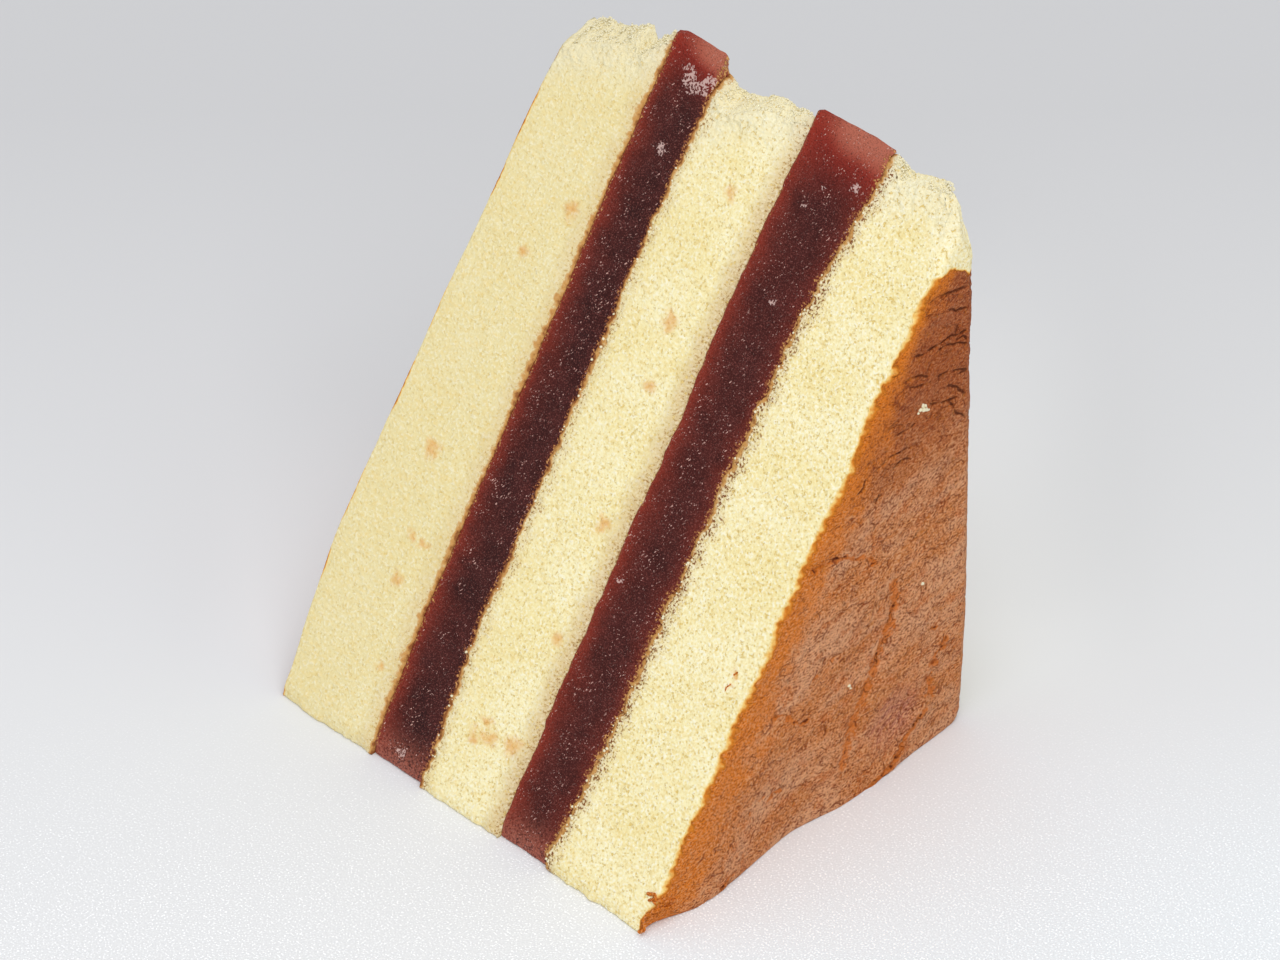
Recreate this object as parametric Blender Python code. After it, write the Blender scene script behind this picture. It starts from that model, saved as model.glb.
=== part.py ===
"""A cut piece of layered castella: three sponge slabs with two bars of red bean jelly between them.

The layers stand upright, side by side along X. The piece is a right-angled wedge. It rests on its
short cut face, its long slanted cut face looks towards -Y, and its browned outer faces look towards
-X and +X. Lengths are in metres, with the origin at the middle of the base.
"""

import math

import bmesh
import bpy
from mathutils import Vector, noise

MM = 0.001

# Driving dimensions of the wedge
DEPTH = 46.0 * MM
HEIGHT = 66.0 * MM
TIP_WIDTH = 1.2 * MM
FRONT_CORNER = 0.4 * MM
REAR_CORNER = 0.9 * MM

# Where each layer's face lies along X, at five even heights from the base to the ridge, in millimetres
OUTER_LEFT = (-25.9, -27.7, -27.4, -27.0, -26.4)
LEFT_JELLY_NEAR = (-12.8, -13.7, -13.9, -14.1, -14.2)
LEFT_JELLY_FAR = (-5.9, -7.1, -7.4, -7.7, -7.4)
RIGHT_JELLY_NEAR = (5.1, 4.7, 4.6, 4.4, 4.6)
RIGHT_JELLY_FAR = (11.7, 12.4, 12.6, 12.8, 14.6)
OUTER_RIGHT = (25.3, 25.6, 25.4, 25.3, 25.3)

# Moves the middle of the whole width onto the origin
CENTRE_SHIFT = 0.5 * MM

# Clearance that each of two touching layers keeps to their common face
LAYER_CLEARANCE = 0.15 * MM
FACE_WAVE = 0.15 * MM
FACE_WAVELENGTH = 14 * MM

# The cut faces: the sponge swells between its jelly bars, and the knife leaves both a little uneven
SPONGE_CROWN = 0.6 * MM
CROWN_REACH = 2.2 * MM
SPONGE_UNEVENNESS = 0.22 * MM
JELLY_RECESS = 0.35 * MM
JELLY_UNEVENNESS = 0.1 * MM
CUT_WAVELENGTH = 7 * MM
CUT_FADE = 4.2 * MM

# How far each layer ends below the ridge, as X and drop at its left and then its right end, in
# millimetres, and how unevenly the sponge is torn there
LEFT_DROP = (-26.0, 5.4, -15.0, 1.4)
LEFT_JELLY_DROP = (-13.0, 0.5, -7.0, 0.7)
MIDDLE_DROP = (-5.0, 2.9, 4.0, 1.0)
RIGHT_JELLY_DROP = (5.0, 0.5, 14.5, 0.0)
RIGHT_DROP = (21.0, 0.9, 26.0, 2.9)
TEAR_DEPTH = 0.55 * MM
TEAR_WAVELENGTH = 2.6 * MM

# The browned skin on the right: how far its slumped foot stands out along the base, as pairs of Y and
# distance in millimetres, and where its top is torn
FOOT_LINE = (
    (-22.9, 0.0), (-19.4, 0.9), (-16.0, 1.5), (-13.2, 1.8), (-10.4, 1.5), (-7.4, 0.8), (-4.4, 0.2),
    (-1.4, -0.3), (1.6, -0.1), (4.6, 0.3), (9.5, 0.5), (14.5, 0.2), (19.0, -0.1), (22.9, -0.4),
)
FOOT_FADE = 7 * MM
SKIN_TOP = 56.2 * MM
TORN_RADIUS = 8.0 * MM
TORN_RECESS = 1.8 * MM
SKIN_ROUNDING = 0.9 * MM
SKIN_WRINKLE = 0.22 * MM
SKIN_WAVELENGTH = 5 * MM

# Grid steps of a layer: along the base, up the height and across its thickness
BASE_STEPS = 15
HEIGHT_STEPS = 25
SPONGE_STEPS = 8
JELLY_STEPS = 4
HEIGHT_EASE = 1.25

SPONGE_COLOUR = (0.88, 0.77, 0.45, 1.0)
JELLY_COLOUR = (0.07, 0.02, 0.018, 1.0)


def clear_scene():
    for old in list(bpy.data.objects):
        bpy.data.objects.remove(old)


def make_material(name, colour, roughness):
    material = bpy.data.materials.new(name)
    material.use_nodes = True
    shader = material.node_tree.nodes["Principled BSDF"]
    shader.inputs["Base Color"].default_value = colour
    shader.inputs["Roughness"].default_value = roughness
    shader.inputs["Metallic"].default_value = 0.0
    return material


def smooth(value):
    value = min(max(value, 0.0), 1.0)
    return value * value * (3 - 2 * value)


def wave(point, wavelength, seed):
    """Smooth noise from about -1 to 1."""
    return noise.noise(Vector(point) / wavelength * 2 + Vector((seed, seed * 1.7, seed * 0.3))) * 1.4


def face_position(heights, z):
    """X of a layer's face at a height, from its five measured ones."""
    along = min(max(z / HEIGHT, 0.0), 1.0) * (len(heights) - 1)
    step = min(int(along), len(heights) - 2)
    share = smooth(along - step)
    return (heights[step] * (1 - share) + heights[step + 1] * share) * MM


def wavy_face(heights, y, z):
    """X of a face between two layers, with the slow wave that both layers share."""
    return face_position(heights, z) + FACE_WAVE * wave((0, y, z), FACE_WAVELENGTH, abs(heights[2]))


def corner_inset(z, radius):
    """How far a rounded lower corner stands in from its face at a height."""
    if z >= radius:
        return 0.0
    return radius - math.sqrt(max(radius**2 - (radius - z) ** 2, 0.0))


def front_edge(z):
    return -DEPTH / 2 + (DEPTH - TIP_WIDTH) * z / HEIGHT + corner_inset(z, FRONT_CORNER)


def rear_edge(z):
    return DEPTH / 2 - corner_inset(z, REAR_CORNER)


def crown(x, near, far):
    """0 over the middle of a sponge slab, growing to 1 at its edges beside the jelly."""
    to_edge = min(x - near, far - x)
    return (1 - smooth(to_edge / CROWN_REACH)) ** 2


def torn_ridge(x, drop):
    ragged = TEAR_DEPTH * (wave((x, 0, 0), TEAR_WAVELENGTH, 4.1) - 0.5)
    return HEIGHT - drop + ragged


def foot_relief(y):
    """How far the slumped foot of the right face stands out along the base, from FOOT_LINE."""
    for (near_y, near_out), (far_y, far_out) in zip(FOOT_LINE[:-1], FOOT_LINE[1:]):
        if y < far_y * MM or far_y == FOOT_LINE[-1][0]:
            share = smooth((y - near_y * MM) / ((far_y - near_y) * MM))
            return (near_out * (1 - share) + far_out * share) * MM


def skin_relief(y, z):
    """How far the browned right face stands out from its level, with its folds and worn edges."""
    out = foot_relief(y) * math.exp(-z / FOOT_FADE)
    out += SKIN_WRINKLE * wave((0.3 * y, y, z), SKIN_WAVELENGTH, 9.2)
    torn = smooth((z - SKIN_TOP) / TORN_RADIUS)
    return out - TORN_RECESS * torn


def edge_rounding(y, z, top):
    """How far an outer face falls away along its own rim."""
    to_rim = min(y - front_edge(z), rear_edge(z) - y, z + SKIN_ROUNDING, top - z)
    return SKIN_ROUNDING * (1 - smooth(to_rim / (1.6 * SKIN_ROUNDING))) ** 2


def shape_layer(mesh, near_face, far_face, ridge, crown_depth, unevenness, seed):
    """Moves the points of a gridded cube, from -0.5 to 0.5 each way, to their places in the wedge."""
    for vertex in mesh.verts:
        across = vertex.co.x + 0.5
        along = vertex.co.y + 0.5
        up = (vertex.co.z + 0.5) ** HEIGHT_EASE
        flat_near = near_face(0.0, up * HEIGHT)
        flat_far = far_face(0.0, up * HEIGHT)
        x = flat_near + (flat_far - flat_near) * across
        top = ridge(x)
        z = top * up
        front = front_edge(z)
        rear = rear_edge(z)
        y = front + (rear - front) * along
        near = near_face(y, z)
        far = far_face(y, z)
        x = near + (far - near) * across
        # The cut faces sink along Y and the rows between them follow, while base and ridge stay put
        fade = smooth(z / CUT_FADE) * smooth((top - z) / CUT_FADE)
        crown_sink = crown_depth(x, near, far)
        front += fade * (crown_sink + unevenness * wave((x, front, z), CUT_WAVELENGTH, seed))
        rear -= fade * (crown_sink + unevenness * wave((x, rear, z), CUT_WAVELENGTH, seed))
        vertex.co = (x + CENTRE_SHIFT, front + (rear - front) * along, z)


def gridded_cube(steps):
    """A closed unit cube cut into steps (x, y, z) of quads."""
    mesh = bmesh.new()
    bmesh.ops.create_cube(mesh, size=1.0)
    for axis, count in enumerate(steps):
        edges = [e for e in mesh.edges if abs(e.verts[0].co[axis] - e.verts[1].co[axis]) > 0.5]
        bmesh.ops.subdivide_edges(mesh, edges=edges, cuts=count - 1, use_grid_fill=True)
    return mesh


def add_layer(name, material, steps, **shape):
    mesh = gridded_cube(steps)
    shape_layer(mesh, **shape)
    data = bpy.data.meshes.new(name)
    mesh.to_mesh(data)
    mesh.free()
    data.materials.append(material)
    data.shade_smooth()
    data.set_sharp_from_angle(angle=math.radians(40))
    layer = bpy.data.objects.new(name, data)
    bpy.context.scene.collection.objects.link(layer)
    return layer


def after(heights):
    """The face of a layer that starts just past a shared face."""
    return lambda y, z: wavy_face(heights, y, z) + LAYER_CLEARANCE


def before(heights):
    """The face of a layer that ends just short of a shared face."""
    return lambda y, z: wavy_face(heights, y, z) - LAYER_CLEARANCE


def left_skin(y, z):
    relief = SKIN_WRINKLE * wave((0, y, z), SKIN_WAVELENGTH * 2, 2.6)
    return face_position(OUTER_LEFT, z) + relief + edge_rounding(y, z, HEIGHT)


def right_skin(y, z):
    return face_position(OUTER_RIGHT, z) + skin_relief(y, z) - edge_rounding(y, z, HEIGHT)


def sloping_ridge(left_x, left_drop, right_x, right_drop, torn):
    """A ridge height that changes evenly across a layer."""

    def ridge(x):
        share = smooth((x - left_x * MM) / ((right_x - left_x) * MM))
        drop = (left_drop * (1 - share) + right_drop * share) * MM
        return torn_ridge(x, drop) if torn else HEIGHT - drop

    return ridge


def sponge_crown(x, near, far):
    return SPONGE_CROWN * crown(x, near, far)


def left_slab_crown(x, near, far):
    return SPONGE_CROWN * crown(x, near - CROWN_REACH, far)


def right_slab_crown(x, near, far):
    return SPONGE_CROWN * crown(x, near, far + CROWN_REACH)


def jelly_recess(x, near, far):
    return JELLY_RECESS


def add_sponge(material):
    steps = (SPONGE_STEPS, BASE_STEPS, HEIGHT_STEPS)
    add_layer(
        "castella_left", material, steps,
        near_face=left_skin, far_face=before(LEFT_JELLY_NEAR),
        ridge=sloping_ridge(*LEFT_DROP, torn=True),
        crown_depth=left_slab_crown, unevenness=SPONGE_UNEVENNESS, seed=1.3,
    )
    add_layer(
        "castella_middle", material, steps,
        near_face=after(LEFT_JELLY_FAR), far_face=before(RIGHT_JELLY_NEAR),
        ridge=sloping_ridge(*MIDDLE_DROP, torn=True),
        crown_depth=sponge_crown, unevenness=SPONGE_UNEVENNESS, seed=5.9,
    )
    add_layer(
        "castella_right", material, steps,
        near_face=after(RIGHT_JELLY_FAR), far_face=right_skin,
        ridge=sloping_ridge(*RIGHT_DROP, torn=True),
        crown_depth=right_slab_crown, unevenness=SPONGE_UNEVENNESS, seed=8.4,
    )


def add_jelly(material):
    steps = (JELLY_STEPS, BASE_STEPS, HEIGHT_STEPS)
    add_layer(
        "jelly_left", material, steps,
        near_face=after(LEFT_JELLY_NEAR), far_face=before(LEFT_JELLY_FAR),
        ridge=sloping_ridge(*LEFT_JELLY_DROP, torn=False),
        crown_depth=jelly_recess, unevenness=JELLY_UNEVENNESS, seed=3.7,
    )
    add_layer(
        "jelly_right", material, steps,
        near_face=after(RIGHT_JELLY_NEAR), far_face=before(RIGHT_JELLY_FAR),
        ridge=sloping_ridge(*RIGHT_JELLY_DROP, torn=False),
        crown_depth=jelly_recess, unevenness=JELLY_UNEVENNESS, seed=6.8,
    )


def main():
    clear_scene()
    add_sponge(make_material("castella_sponge", SPONGE_COLOUR, 0.9))
    add_jelly(make_material("bean_jelly", JELLY_COLOUR, 0.35))


main()
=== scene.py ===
# %% [markdown]
# # A wedge of layered castella
#
# The real thing is a stack of three slabs of fine yellow sponge with two layers of dark red bean jelly
# between them. The stack was cut across the corner, so the piece is a right-angled wedge with its
# layers standing upright. Two faces are freshly cut, and the two outermost still carry the browned
# skin that formed in the oven. This script dresses the plain solids of the frame with finely modelled
# layers. Its own measures are in millimetres, and each mesh is turned into metres as its last step.

import math

import bmesh
import bpy
import numpy as np
from mathutils import Matrix, Vector


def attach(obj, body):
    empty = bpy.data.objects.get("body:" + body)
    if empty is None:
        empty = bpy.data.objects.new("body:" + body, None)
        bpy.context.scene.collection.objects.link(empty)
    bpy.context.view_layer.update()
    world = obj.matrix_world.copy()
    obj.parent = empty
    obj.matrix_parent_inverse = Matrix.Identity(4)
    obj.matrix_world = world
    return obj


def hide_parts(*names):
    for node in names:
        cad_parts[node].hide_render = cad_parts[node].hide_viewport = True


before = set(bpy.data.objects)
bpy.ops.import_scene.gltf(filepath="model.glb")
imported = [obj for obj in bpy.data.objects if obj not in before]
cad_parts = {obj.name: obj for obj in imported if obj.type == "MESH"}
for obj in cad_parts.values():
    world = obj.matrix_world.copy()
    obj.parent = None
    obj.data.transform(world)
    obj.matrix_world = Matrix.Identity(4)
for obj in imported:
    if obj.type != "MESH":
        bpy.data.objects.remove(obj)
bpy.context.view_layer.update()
print("nodes", sorted(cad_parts))

# %% [markdown]
# The wedge itself is a few numbers: how deep the base is, how high the ridge stands, and where each
# layer's two faces lie at five even heights. A cut cake never has truly flat layers, so five heights
# are the fewest that still show how the jelly leans and spreads towards the ridge.

# %% Measures of the wedge, in millimetres
MILLIMETRE = 0.001
DEPTH = 46.0
HEIGHT = 66.0
TIP_WIDTH = 0.5
FRONT_CORNER = 0.5
REAR_CORNER = 0.8
GAP = 0.01
CENTRE_SHIFT = 0.5

OUTER_LEFT = (-25.9, -27.7, -27.4, -27.0, -26.4)
LEFT_JELLY_NEAR = (-12.8, -13.7, -13.9, -14.1, -14.2)
LEFT_JELLY_FAR = (-5.9, -7.1, -7.4, -7.7, -7.4)
RIGHT_JELLY_NEAR = (5.1, 4.7, 4.6, 4.4, 4.6)
RIGHT_JELLY_FAR = (11.7, 12.4, 12.6, 12.8, 14.6)
OUTER_RIGHT = (25.3, 25.6, 25.4, 25.3, 25.3)
SLOPE_LENGTH = math.hypot(DEPTH, HEIGHT)
UP_SLOPE = HEIGHT / SLOPE_LENGTH
print("slanted cut face is %.1f mm long" % SLOPE_LENGTH)

# %% [markdown]
# Crumb, folds and torn edges all start from noise: a value that wanders smoothly between -1 and 1 from
# place to place. Worked out for whole arrays of points at once it is quick, and because it depends only
# on the place and a seed, every run gives the same cake.

# %% Noise for whole arrays of points


def ease(value):
    value = np.clip(value, 0.0, 1.0)
    return value * value * (3 - 2 * value)


def wander(x, y, z, size, seed):
    """Smooth noise from -1 to 1 that changes over about size."""
    shifts = ((x, 1.31), (y, 1.73), (z, 2.39))
    scaled = [np.asarray(value, dtype=float) / size + seed * shift for value, shift in shifts]
    scaled = np.broadcast_arrays(*scaled)
    cells = [np.floor(v).astype(np.int64) for v in scaled]
    shares = [ease(v - c) for v, c in zip(scaled, cells)]
    total = 0.0
    for corner in range(8):
        bits = (corner & 1, corner >> 1 & 1, corner >> 2 & 1)
        key = sum((c + b) * p for c, b, p in zip(cells, bits, (73856093, 19349663, 83492791)))
        key = ((key ^ (key >> 13)) * 1274126177) & 0x7FFFFFFF
        value = ((key ^ (key >> 16)) & 0xFFFF) / 32767.5 - 1.0
        weight = 1.0
        for bit, share in zip(bits, shares):
            weight = weight * (share if bit else 1 - share)
        total = total + value * weight
    return total


def rough(x, y, z, size, seed, layers=3):
    """Noise with finer and fainter noise on top."""
    total = 0.0
    for layer in range(layers):
        total = total + wander(x, y, z, size / 2**layer, seed + 7.3 * layer) / 1.8**layer
    return total / 1.6


print("noise at the origin %.3f" % wander(0.0, 0.0, 0.0, 5.0, 1.0))

# %% [markdown]
# Each layer starts as a cube that is cut into a fine grid, because a grid can be pushed about like clay
# without tearing. Only the sides that show get a second, finer cut, which keeps the hidden sides light.
# Every point of the cube then gets its place in the wedge: its share across the layer, along the base
# and up the height.

# %% A gridded block
SIDES = dict(front=(1, -0.5), rear=(1, 0.5), right=(0, 0.5), left=(0, -0.5))


def gridded_block(steps, finer):
    """A unit cube cut into steps (x, y, z). finer names the sides that are cut once more."""
    block = bmesh.new()
    bmesh.ops.create_cube(block, size=1.0)
    for axis, count in enumerate(steps):
        edges = [e for e in block.edges if abs(e.verts[0].co[axis] - e.verts[1].co[axis]) > 0.5]
        bmesh.ops.subdivide_edges(block, edges=edges, cuts=count - 1, use_grid_fill=True)
    places = [SIDES[side] for side in finer]
    edges = [
        edge for edge in block.edges
        if any(all(abs(v.co[axis] - at) < 1e-5 for v in edge.verts) for axis, at in places)
    ]
    bmesh.ops.subdivide_edges(block, edges=edges, cuts=1, use_grid_fill=True)
    return block


def to_data(mesh, name):
    """Turns the grid or heap being built into mesh data and frees it."""
    data = bpy.data.meshes.new(name)
    mesh.to_mesh(data)
    mesh.free()
    return data


def face_line(heights, z):
    """X of a layer's face at each height."""
    along = np.clip(np.asarray(z) / HEIGHT, 0.0, 1.0) * (len(heights) - 1)
    step = np.minimum(along.astype(int), len(heights) - 2)
    share = ease(along - step)
    table = np.array(heights)
    return table[step] * (1 - share) + table[step + 1] * share


def shared_face(heights, ragged):
    """The face between a sponge slab and a jelly bar, with the waves and teeth both of them follow."""
    seed = abs(heights[2])

    def position(y, z):
        slow = 0.16 * wander(0.0, y, z, 9.0, seed)
        teeth = ragged * rough(0.0, 0.0, z, 1.1, seed + 3.0, 4)
        return face_line(heights, z) + slow + teeth

    return position


left_jelly_near = shared_face(LEFT_JELLY_NEAR, 0.16)
left_jelly_far = shared_face(LEFT_JELLY_FAR, 0.4)
right_jelly_near = shared_face(RIGHT_JELLY_NEAR, 0.18)
right_jelly_far = shared_face(RIGHT_JELLY_FAR, 0.6)


def corner_inset(z, radius):
    below = np.clip(radius - z, 0.0, radius)
    return radius - np.sqrt(np.maximum(radius**2 - below**2, 0.0))


def front_edge(z):
    return -DEPTH / 2 + (DEPTH - TIP_WIDTH) * z / HEIGHT + corner_inset(z, FRONT_CORNER)


def rear_edge(z):
    return DEPTH / 2 - corner_inset(z, REAR_CORNER)


print("front edge at half height y = %.1f mm" % front_edge(np.array(HEIGHT / 2)))

# %% [markdown]
# The outer faces were the top and bottom of the whole cake, so they are covered with a thin, leathery
# skin. On the right it has slumped into soft folds near the foot, it creases where the lower rear corner
# was pressed in, thin cracks run through it, and it ends in torn sponge near the ridge. A list of short
# lines says where the cracks and folds run, and each point asks how far it is from the nearest of them.

# %% Folds and cracks of the browned skin
CRACK_WIDTH = 0.24
SKIN_TOP = 58.4
FOOT_LINE = (
    (-22.9, 0.0), (-19.4, 0.9), (-16.0, 1.5), (-13.2, 1.8), (-10.4, 1.5), (-7.4, 0.8), (-4.4, 0.2),
    (-1.4, -0.2), (1.6, 0.2), (4.6, 0.7), (9.5, 0.6), (14.5, 0.2), (19.0, -0.1), (22.9, -0.4),
)
FOOT_TUCK = (
    (-22.9, 0.0), (-21.8, 0.8), (-20.6, 1.1), (-19.0, 1.0), (-16.0, 0.5), (-13.2, 0.6), (-10.4, 0.6),
    (-7.4, 0.2), (-4.4, 0.0),
)
CRACKS = (
    ((12.1, 24.4), (12.8, 21.8), (11.6, 19.6), (11.0, 17.4), (9.9, 15.2), (8.8, 13.6)),
    ((-0.6, 32.4), (3.0, 31.8), (5.2, 31.4), (7.0, 30.2), (9.4, 28.6)),
    ((-4.2, 17.0), (-2.6, 15.8), (-0.8, 14.1), (0.7, 14.8)),
    ((0.9, 18.4), (2.2, 19.0), (3.6, 19.6)),
    ((-7.8, 6.7), (-6.8, 7.4), (-6.0, 7.5)),
    ((-5.2, 6.3), (-4.4, 6.8), (-3.6, 6.7)),
    ((-5.0, 13.2), (-4.5, 12.6)),
    ((17.8, 15.3), (18.6, 14.5), (19.5, 14.4)),
    ((-13.4, 0.4), (-12.2, 0.8), (-10.8, 1.2)),
)
WRINKLES = (
    ((15.6, 56.4), (17.6, 56.2), (20.9, 55.8), (21.9, 55.6)),
    ((18.8, 54.0), (19.9, 53.7), (20.6, 53.3), (21.7, 53.0)),
    ((15.0, 50.7), (16.3, 50.4), (18.3, 50.6), (20.7, 50.3), (22.0, 50.0)),
    ((18.2, 49.9), (19.4, 49.5), (20.6, 49.1), (22.1, 48.5)),
    ((20.9, 49.6), (21.7, 49.5), (22.3, 49.0)),
    ((11.8, 48.1), (12.9, 48.2), (13.8, 48.5), (14.6, 48.3), (16.6, 47.5)),
    ((12.4, 47.5), (13.5, 47.6), (15.1, 46.9), (17.0, 46.5)),
    ((18.2, 46.6), (19.2, 46.3), (21.2, 45.6), (22.3, 45.0)),
    ((20.3, 45.4), (21.2, 45.0), (22.3, 44.8)),
    ((19.0, 44.4), (19.8, 44.5), (20.7, 43.7), (21.9, 42.3)),
    ((12.4, 42.4), (14.0, 42.5), (14.9, 42.5)),
    ((8.4, 39.7), (10.2, 40.2), (11.3, 40.6), (12.7, 40.2), (15.0, 39.9)),
    ((6.9, 38.4), (7.7, 38.9), (8.0, 39.5)),
    ((8.6, 35.0), (9.4, 35.5), (10.2, 36.2)),
    ((11.9, 38.7), (13.2, 38.9), (14.1, 38.6)),
    ((17.1, 43.6), (18.1, 43.0), (20.8, 42.4)),
    ((19.7, 42.6), (20.6, 40.9), (21.8, 39.6)),
    ((15.0, 28.2), (15.7, 28.8)),
)
CREASE = (
    (9.1, 0.2), (11.7, 0.7), (13.9, 2.3), (15.4, 3.8), (17.2, 4.9), (18.3, 6.2), (17.6, 8.0),
    (17.9, 10.4), (19.4, 12.3),
)
STREAK = ((12.3, 24.2), (12.6, 21.6), (11.0, 17.4), (8.4, 13.0), (6.5, 9.3), (5.4, 4.9))


def distance_to_line(line, y, z):
    best = np.full(np.shape(y), 99.0)
    for (ya, za), (yb, zb) in zip(line[:-1], line[1:]):
        length = (yb - ya) ** 2 + (zb - za) ** 2
        share = np.clip(((y - ya) * (yb - ya) + (z - za) * (zb - za)) / length, 0.0, 1.0)
        best = np.minimum(best, np.hypot(y - ya - share * (yb - ya), z - za - share * (zb - za)))
    return best


def crack_depth(y, z, lines, width, bend=0.7, gaps=1.2):
    """1 in the middle of any of the lines, 0 away from them. They bend by about bend and have gaps."""
    bent_y = y + bend * rough(0.0, y, z, 1.3, 21.0)
    bent_z = z + bend * rough(0.0, y, z, 1.3, 22.0)
    depth = np.zeros(np.shape(y))
    for line in lines:
        depth = np.maximum(depth, np.exp(-((distance_to_line(line, bent_y, bent_z) / width) ** 2)))
    return depth * np.clip(1.0 - gaps * (0.33 - wander(0.0, y, z, 0.9, 23.0)), 0.0, 1.0)


def crease_depth(y, z, width):
    """1 along the crumbly crease at the lower rear corner."""
    bent_y = y + 0.8 * rough(0.0, y, z, 1.2, 24.0)
    bent_z = z + 0.8 * rough(0.0, y, z, 1.2, 28.0)
    broken = np.clip(0.75 + 0.8 * wander(0.0, y, z, 1.4, 29.0), 0.2, 1.0)
    return np.exp(-((distance_to_line(CREASE, bent_y, bent_z) / width) ** 2)) * broken


def arched(y, z):
    """Height counted along the arcs that the upper wrinkles follow."""
    return z + 0.022 * (y - 15.0) ** 2


def slits(y, z):
    """Fine wrinkles all over the skin, from 0 to 1. High up they form arcs, lower down they lie flat."""
    bent = arched(y, z) + 0.7 * wander(0.0, y, z, 3.4, 25.0)
    long_line = np.abs(wander(0.0, y / 3.6, bent, 1.05, 26.0))
    short_line = np.abs(wander(0.0, y / 2.2, z + 0.3 * wander(0.0, y, z, 1.6, 30.0), 0.6, 31.0))
    high = ease((z - 33.0) / 7.0)
    long_share = ease((wander(0.0, y / 2.0, bent, 1.9, 27.0) + 0.15) / 0.4) * high
    short_share = ease((wander(0.0, y, z, 1.1, 32.0) - 0.28) / 0.3)
    long_line, short_line = 1 - ease(long_line / 0.14), 1 - ease(short_line / 0.2)
    fine = np.maximum(0.6 * long_line * long_share, 0.5 * short_line * short_share)
    return np.maximum(fine, crack_depth(y, z, WRINKLES, 0.16, 0.3, 0.6))


def skin_relief(y, z):
    """How far the browned right face stands out from its level."""
    foot_y, foot_out = zip(*FOOT_LINE)
    out = sum(np.interp(y + shift, foot_y, foot_out) for shift in (-1.0, 0.0, 1.0)) / 3 * np.exp(-z / 7.0)
    tuck_y, tuck_in = zip(*FOOT_TUCK)
    out -= np.interp(y, tuck_y, tuck_in) * np.exp(-z / 1.6)
    inside = ease((20.0 - y) / 6.0) * ease((y + 16.0) / 8.0)
    out += 0.25 * wander(0.0, y, z * 1.2, 7.0, 9.2) * inside
    out += 0.08 * rough(0.0, y + 0.3 * z, z - 0.3 * y, 2.2, 12.0, 4)
    arcs = wander(0.0, y / 3.5, arched(y, z), 2.0, 5.0)
    out += 0.16 * arcs * ease((z - 33.0) / 9.0)
    out -= 0.35 * np.exp(-(((y - 13.0) ** 2 + (z - 6.7) ** 2) / 9.0))
    out -= 0.2 * np.exp(-((distance_to_line(STREAK, y, z) / 1.2) ** 2))
    out -= 0.3 * crack_depth(y, z, CRACKS, CRACK_WIDTH) + 0.2 * slits(y, z)
    groove, lips = crease_depth(y, z, 0.3), crease_depth(y, z, 0.9)
    out += 0.35 * lips - 0.6 * groove
    to_front = (y - front_edge(z)) * UP_SLOPE
    out += 0.3 * rough(0.0, y, z, 1.5, 15.0, 4) * np.exp(-((to_front / 1.1) ** 2))
    torn = ease((z - SKIN_TOP + 0.6 - 0.6 * wander(0.0, y, z, 2.5, 14.0)) / 8.0)
    return out - 1.0 * torn


print(len(CRACKS), "cracks and", len(WRINKLES), "long wrinkles are placed one by one")

# %% [markdown]
# A point of the grid knows which side of the block it is on. Points of the two cut faces may sink
# inwards, which makes crumb, torn edges and the soft fall of the sponge towards the jelly. Points just
# behind them follow by a falling share, so the rim of a layer never folds over itself.

# %% Putting a block's points in the wedge
FOLLOW_REACH = 4.0
WORN_HEIGHT = 2.2
SLUMP = 0.7


def crumbly_foot(x):
    """How far the lower edge of the sponge is worn back."""
    return 0.3 * (1 + rough(x, 0.0, 0.0, 1.6, 51.0, 4))


def jelly_foot(x):
    return 0.7 + 0.1 * rough(x, 0.0, 0.0, 2.0, 52.0)


def shape_layer(
    name, steps, finer, near, far, ridge, sink,
    rounding=(0.0, 0.0), slump=0.0, soft_above=99.0, worn_foot=crumbly_foot,
):
    """Returns the mesh and, for each point, where it is and which side it is on."""
    data = to_data(gridded_block(steps, finer), name)
    share = np.empty(len(data.vertices) * 3)
    data.vertices.foreach_get("co", share)
    share = share.reshape(-1, 3) + 0.5
    across, along, up = share.T
    on_front, on_rear = along < 1e-6, along > 1 - 1e-6
    along = 0.5 - 0.5 * np.cos(np.pi * along) if steps[1] < 50 else along
    flat = near(0.0 * up, up * HEIGHT) * (1 - across) + far(0.0 * up, up * HEIGHT) * across
    top = ridge(flat, along) - slump * (1 - along) ** 1.5
    z = top * up
    front, rear = front_edge(z), rear_edge(z)
    y = front + (rear - front) * along
    soft = ease((z - soft_above) / 4.0)
    to_rim = np.minimum(np.minimum(y - front, rear - y), np.minimum(z + 0.5, top - z))
    worn = (1 + 1.8 * soft) * (1 - ease(to_rim / (1.1 + 1.6 * soft))) ** 2
    low, high = near(y, z) + rounding[0] * worn, far(y, z) - rounding[1] * worn
    x = low + (high - low) * across
    behind = along > 0.5
    thick = rear - front
    depth = sink(x, z, low, high, top, behind) * ease((z + 0.3) / 1.5)
    depth = np.minimum(depth + worn_foot(x) * (1 - ease(z / WORN_HEIGHT)) ** 2, 0.3 * thick)
    reach = np.minimum(FOLLOW_REACH, 0.5 * thick)
    follow = np.clip(1 - np.where(behind, rear - y, y - front) / reach, 0.0, 1.0)
    y = y + np.where(behind, -1.0, 1.2) * depth * follow
    place = np.stack((x + CENTRE_SHIFT, y, z), axis=1)
    data.vertices.foreach_set("co", (place * MILLIMETRE).ravel())
    sides = dict(front=on_front, rear=on_rear, left=across < 1e-6, right=across > 1 - 1e-6)
    facts = dict(x=x, y=y, z=z, slope=z / UP_SLOPE, low=low, high=high, top=top, **sides)
    print("%s: %d points, sinks up to %.2f mm" % (name, len(x), depth.max()))
    return data, facts


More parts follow.
